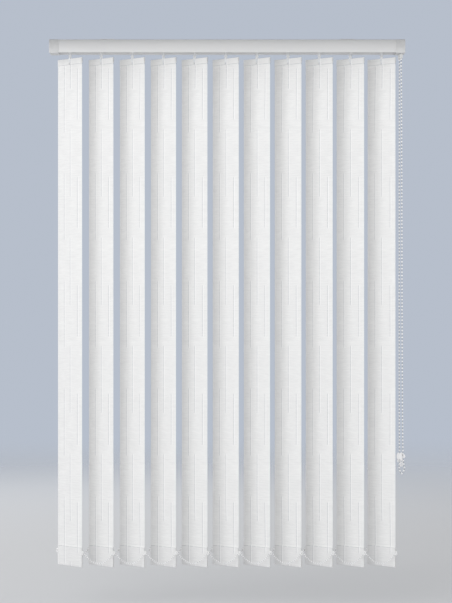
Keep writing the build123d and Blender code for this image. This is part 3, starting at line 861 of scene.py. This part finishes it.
    def build(self) -> None:
        """Copies the blank to each stem, each a little different in how far it bows."""
        blank = self.blank()
        dice = random.Random(11)
        for index in range(VANE_COUNT):
            number = f"{index + 1:02d}"
            stem = FIRST_STEM + index * VANE_PITCH
            place = Matrix.Translation((stem, 0, 0)) @ Matrix.Rotation(-TILT, 4, "Z")
            own = Matrix.Diagonal((1.0, dice.uniform(0.75, 1.1), 1.0, 1.0))
            piece = copy_of(blank, f"cloth_{number}", place)
            local = np.empty(len(blank.data.vertices) * 3)
            blank.data.vertices.foreach_get("co", local)
            bend = dice.uniform(0.8, 1.25)
            twist = math.radians(dice.uniform(-0.35, 0.35))
            for vertex, base in zip(piece.data.vertices, local.reshape(-1, 3)):
                free = self.crown_share(base[2])
                hang = (VANE_TOP - base[2]) / VANE_LENGTH
                y = base[1] - (bend - 1.0) * self.crown * (1 - (2 * base[0] / VANE_WIDTH) ** 2) * free
                spot = Matrix.Rotation(twist * 4 * hang * (1 - hang), 4, "Z") @ Vector((base[0], y, base[2]))
                vertex.co = place @ spot
            piece.data.update()
            dress(piece, self.cloth)
            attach(piece, f"blade_{number}")
            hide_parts(f"vane_{number}")
            self.pieces.append(piece)
        discard(blank)


# ------------------------------------------------------------------ bead chains
@dataclass
class Beads:
    """One round bead, modelled once, and ways to string it on a line."""

    diameter: float
    rings: int = 6
    segments: int = 8

    def blank(self) -> bpy.types.Object:
        """A bead whose ends are a little flattened where the cord enters.

        Returns:
            The blank, with the cord's way through it along Z.
        """
        deselect()
        radius = self.diameter / 2
        bpy.ops.mesh.primitive_uv_sphere_add(segments=self.segments, ring_count=self.rings, radius=radius)
        piece = named("bead_blank")
        bpy.ops.object.mode_set(mode="EDIT")
        bpy.ops.mesh.select_all(action="DESELECT")
        shape = bmesh.from_edit_mesh(piece.data)
        for vertex in shape.verts:
            vertex.select = abs(vertex.co.z) > radius * 0.99
        shape.select_flush(True)
        bmesh.update_edit_mesh(piece.data)
        bpy.ops.transform.resize(value=(1.0, 1.0, 0.9))
        bpy.ops.object.mode_set(mode="OBJECT")
        for face in piece.data.polygons:
            face.use_smooth = True
        return piece

    def string(self, name: str, lines: list[list[Vector]], pitch: float, thread: float) -> bpy.types.Object:
        """Beads and the cord through them, as one mesh.

        Args:
            name: the piece's name.
            lines: the lines that the cord follows, each strung on its own.
            pitch: the distance between beads.
            thread: the cord's diameter.

        Returns:
            The piece.
        """
        bead = self.blank()
        whole = bmesh.new()
        for line in lines:
            for place, along in stepped(line, pitch):
                turn = along.to_track_quat("Z", "Y").to_matrix().to_4x4()
                part = bead.data.copy()
                part.transform(Matrix.Translation(place) @ turn)
                whole.from_mesh(part)
                bpy.data.meshes.remove(part)
            self.cord(whole, line, thread / 2)
        mesh = bpy.data.meshes.new(name)
        whole.to_mesh(mesh)
        whole.free()
        piece = bpy.data.objects.new(name, mesh)
        bpy.context.scene.collection.objects.link(piece)
        for face in mesh.polygons:
            face.use_smooth = True
        discard(bead)
        return piece

    def cord(self, whole: bmesh.types.BMesh, line: list[Vector], radius: float, sides: int = 5) -> None:
        """Adds a thin closed tube along a line.

        Args:
            whole: the mesh that takes it.
            line: points in order.
            radius: the tube's radius.
            sides: how many sides it has.
        """
        spots = [line[0]]
        for spot in line[1:]:
            if (spot - spots[-1]).length > radius * 2:
                spots.append(spot)
        before = None
        for index, spot in enumerate(spots):
            ahead = spots[min(index + 1, len(spots) - 1)] - spots[max(index - 1, 0)]
            turn = ahead.to_track_quat("Z", "Y").to_matrix()
            ring = []
            for side in range(sides):
                angle = 2 * math.pi * side / sides
                offset = turn @ Vector((radius * math.cos(angle), radius * math.sin(angle), 0))
                ring.append(whole.verts.new(spot + offset))
            if before:
                for side in range(sides):
                    after = (side + 1) % sides
                    whole.faces.new((before[side], before[after], ring[after], ring[side])).material_index = 1
            else:
                whole.faces.new(list(reversed(ring))).material_index = 1
            before = ring
        whole.faces.new(before).material_index = 1


@dataclass
class ControlChain:
    """The endless loop that hangs from the drive, and its half turn over the wheel."""

    finish: bpy.types.Material
    cord: bpy.types.Material
    diameter: float = 0.0045
    pitch: float = 0.0086
    thread: float = 0.0013

    def build(self) -> None:
        beads = Beads(self.diameter)
        line = followed(CONTROL_ROUTE)
        loop = beads.string("control_loop", [line], self.pitch, self.thread)
        dress(loop, self.finish, self.cord)
        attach(loop, "root")
        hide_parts("control_chain")
        turn = beads.string("loop_over_wheel", [self.over_wheel()], self.pitch, self.thread)
        dress(turn, self.finish, self.cord)
        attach(turn, "root")
        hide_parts("control_chain")

    def over_wheel(self) -> list[Vector]:
        """The half circle over the wheel, from the rear strand to the front one."""
        spots = []
        for n in range(25):
            angle = math.pi * n / 24
            y = WHEEL_CENTRE.y + WHEEL_PITCH_RADIUS * math.cos(angle)
            z = WHEEL_CENTRE.z + WHEEL_PITCH_RADIUS * math.sin(angle)
            spots.append(Vector((WHEEL_CENTRE.x, y, z)))
        return spots


@dataclass
class BottomChain:
    """A chain of small beads that links the vanes along one edge, hanging between their eyes."""

    side: Side
    finish: bpy.types.Material
    cord: bpy.types.Material
    diameter: float = 0.0030
    pitch: float = 0.0050
    thread: float = 0.0009
    stacked: float = 15 / 78

    def eye(self, index: int) -> Vector:
        """The centre of one vane's eye on this edge.

        Args:
            index: the vane, from 0.

        Returns:
            The place.
        """
        stem = FIRST_STEM + index * VANE_PITCH
        reach = self.side.value * EYE_REACH
        return Vector((stem + reach * math.cos(TILT), -reach * math.sin(TILT), EYE_Z))

    def route(self) -> list[Point]:
        """The control points of the whole chain, from the first eye to the last."""
        points = []
        for index in range(VANE_COUNT - 1):
            start = self.eye(index)
            for along, down in SPAN_ROUTE:
                points.append((start.x + along, start.y, start.z - down))
        return points

    def build(self) -> None:
        label = self.side.name.lower()
        line = followed(self.route())
        chain = Beads(self.diameter, rings=5, segments=7).string(
            f"{label}_beads", [line], self.pitch, self.thread
        )
        dress(chain, self.finish, self.cord)
        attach(chain, f"{label}_chain")
        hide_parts(f"{label}_bottom_chain")
        anchor = self.eye(0)
        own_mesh(chain)
        start = self.route()[0]


@dataclass
class EyeClips:
    """The small moulded clips that hold the chains in the weights' eyes, two on each vane."""

    finish: bpy.types.Material
    ring: float = 0.0030
    wire: float = 0.0009
    pin: float = 0.0014

    def blank(self) -> bpy.types.Object:
        """Models one clip at the origin: an oval ring round the eye's rim with a small bead at its top and one
        at its foot.

        Returns:
            The blank.
        """
        deselect()
        bpy.ops.mesh.primitive_torus_add(
            major_segments=20,
            minor_segments=8,
            major_radius=self.ring,
            minor_radius=self.wire,
            rotation=(math.radians(90.0), 0.0, 0.0),
        )
        piece = named("clip_blank")
        settle(piece, Matrix.Diagonal((0.82, 1.0, 1.35, 1.0)))
        bpy.ops.mesh.primitive_uv_sphere_add(segments=10, ring_count=7, radius=self.pin)
        bead = named("clip_bead")
        upper = copy_of(bead, "clip_upper", Matrix.Translation((0.0, 0.0, 1.3 * self.ring)))
        lower = copy_of(bead, "clip_lower", Matrix.Translation((0.0, 0.0, -1.3 * self.ring)))
        discard(bead)
        deselect()
        for part in (upper, lower, piece):
            part.select_set(True)
        bpy.context.view_layer.objects.active = piece
        bpy.ops.object.join()
        smooth(piece, 60.0)
        return piece

    def build(self) -> None:
        """Copies the clip to both eyes of each vane."""
        blank = self.blank()
        for index in range(VANE_COUNT):
            number = f"{index + 1:02d}"
            stem = FIRST_STEM + index * VANE_PITCH
            turn = Matrix.Translation((stem, 0, 0)) @ Matrix.Rotation(-TILT, 4, "Z")
            for side in Side:
                place = turn @ Matrix.Translation((side.value * (EYE_REACH + 0.0004), -0.0016, EYE_Z))
                clip = copy_of(blank, f"{side.name.lower()}_clip_{number}", place)
                dress(clip, self.finish)
                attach(clip, f"blade_{number}")
        discard(blank)


# ------------------------------------------------------------------ frame parts
@dataclass
class FrameParts:
    """The rail, caps, drive, carriers and fittings, which keep their measured shape."""

    palette: Palette

    def finish_of(self, name: str) -> bpy.types.Material:
        """The finish of a node.

        Args:
            name: the node's name.

        Returns:
            The material.
        """
        palette = self.palette
        table = {
            "headrail": palette.rail,
            "end_cap_left": palette.cap,
            "end_cap_right": palette.cap,
            "drive_bearing": palette.cap,
            "tilt_rod": palette.rod,
            "chain_tidy": palette.tidy,
            "bracket_left": palette.steel,
            "bracket_right": palette.steel,
        }
        if name.startswith("stem"):
            return palette.hook
        return table.get(name, palette.moulded)

    def build(self) -> None:
        """Dresses every node that shows as it was measured."""
        for name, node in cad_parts.items():
            if name.startswith("vane_") or name in RESTRUNG:
                continue
            dress(node, self.finish_of(name))
            LOG.info("dressed %s", name)


# ------------------------------------------------------------------ stage
@dataclass
class Studio:
    """A pale floor, soft lights and the camera."""

    eye: Point = (-0.003, -4.9, -0.6553)
    lens: float = 116.8
    sensor: float = 36.0

    def build(self) -> None:
        """Adds the floor, the lights, the sky and the camera."""
        self.floor()
        self.world()
        self.flag()
        self.light("key", (-2.5, -3.6, 0.5), (0.0, 0.0, -0.70), 4.4, 82.0)
        self.light("fill", (2.6, -3.2, -0.3), (0.0, 0.0, -0.7), 2.2, 24.0)
        self.light("rear", (-1.4, 3.4, 0.9), (0.0, 0.0, -0.6), 1.8, 30.0)
        self.camera()

    def floor(self) -> None:
        """A pale round floor under the blind that fades out into the surround."""
        deselect()
        bpy.ops.mesh.primitive_circle_add(vertices=96, radius=9.0, fill_type="NGON", location=(0, 0, -1.42))
        piece = named("studio_floor")
        settle(piece, Matrix.Identity(4))
        made = bpy.data.materials.new("studio_floor")
        made.use_nodes = True
        graph = Graph(made.node_tree)
        shader = made.node_tree.nodes["Principled BSDF"]
        place = graph.add("ShaderNodeTexCoord")
        noise = graph.add("ShaderNodeTexNoise", Scale=0.6, Detail=3.0)
        graph.join(place.outputs["Object"], noise.inputs["Vector"])
        tone = graph.add("ShaderNodeMix", data_type="RGBA")
        tone.inputs["A"].default_value = (0.50, 0.51, 0.525, 1.0)
        tone.inputs["B"].default_value = (0.54, 0.55, 0.565, 1.0)
        graph.join(noise.outputs["Fac"], tone.inputs["Factor"])
        graph.join(tone.outputs["Result"], shader.inputs["Base Color"])
        away = graph.add("ShaderNodeVectorMath", operation="LENGTH")
        graph.join(place.outputs["Object"], away.inputs[0])
        graph.join(graph.ramp(away.outputs["Value"], 1.7, 6.5, 1.0, 0.0), shader.inputs["Alpha"])
        shader.inputs["Roughness"].default_value = 0.8
        dress(piece, made)

    def flag(self) -> None:
        """A narrow dark card in front of the rail's top edge that the camera doesn't see."""
        deselect()
        bpy.ops.mesh.primitive_plane_add(size=1.0)
        piece = named("studio_flag")
        settle(piece, Matrix.Translation((0.0, -0.056, 0.003)) @ Matrix.Diagonal((1.0, 0.06, 1.0, 1.0)))
        made = bpy.data.materials.new("studio_flag")
        made.use_nodes = True
        made.node_tree.nodes["Principled BSDF"].inputs["Base Color"].default_value = (0.08, 0.08, 0.08, 1.0)
        dress(piece, made)
        piece.visible_camera = False

    def world(self) -> None:
        """A plain pale surround, a little cool."""
        world = bpy.data.worlds.new("studio")
        bpy.context.scene.world = world
        world.use_nodes = True
        graph = Graph(world.node_tree)
        sky = world.node_tree.nodes["Background"]
        sky.inputs["Color"].default_value = (0.70, 0.70, 0.705, 1.0)
        sky.inputs["Strength"].default_value = 0.98
        seen = graph.add("ShaderNodeBackground", Color=(0.42, 0.462, 0.535, 1.0), Strength=1.0)
        path = graph.add("ShaderNodeLightPath")
        either = graph.add("ShaderNodeMixShader")
        graph.join(path.outputs["Is Camera Ray"], either.inputs["Fac"])
        graph.join(sky.outputs["Background"], either.inputs[1])
        graph.join(seen.outputs["Background"], either.inputs[2])
        graph.join(either.outputs["Shader"], world.node_tree.nodes["World Output"].inputs["Surface"])

    def light(self, name: str, place: Point, target: Point, size: float, power: float) -> None:
        """Adds one soft square light.

        Args:
            name: the light's name.
            place: where it is.
            target: what it faces.
            size: its side.
            power: in watts.
        """
        data = bpy.data.lights.new(name, "AREA")
        data.size = size
        data.energy = power
        lamp = bpy.data.objects.new(name, data)
        bpy.context.scene.collection.objects.link(lamp)
        lamp.location = place
        lamp.rotation_mode = "QUATERNION"
        lamp.rotation_quaternion = (Vector(target) - Vector(place)).to_track_quat("-Z", "Y")

    def camera(self) -> None:
        """A level camera straight in front of the middle of the blind."""
        data = bpy.data.cameras.new("camera")
        data.lens = self.lens
        data.sensor_width = self.sensor
        data.sensor_fit = "AUTO"
        lens = bpy.data.objects.new("camera", data)
        bpy.context.scene.collection.objects.link(lens)
        lens.location = self.eye
        lens.rotation_euler = (math.radians(90.0), 0.0, 0.0)
        bpy.context.scene.camera = lens


def main() -> None:
    """Builds the blind, sub-assembly by sub-assembly, and the studio round it."""
    bpy.context.scene.view_settings.view_transform = "Standard"
    bpy.context.scene.view_settings.exposure = 0.17
    palette = Palette()
    FrameParts(palette).build()
    Vanes(palette.cloth).build()
    LOG.info("hung %d vanes", VANE_COUNT)
    ControlChain(palette.chain, palette.thread).build()
    for side in Side:
        BottomChain(side, palette.chain, palette.thread).build()
    EyeClips(palette.chain).build()
    Studio().build()


if __name__ == "__main__":
    logging.basicConfig(level=logging.INFO, format="%(message)s")
    main()
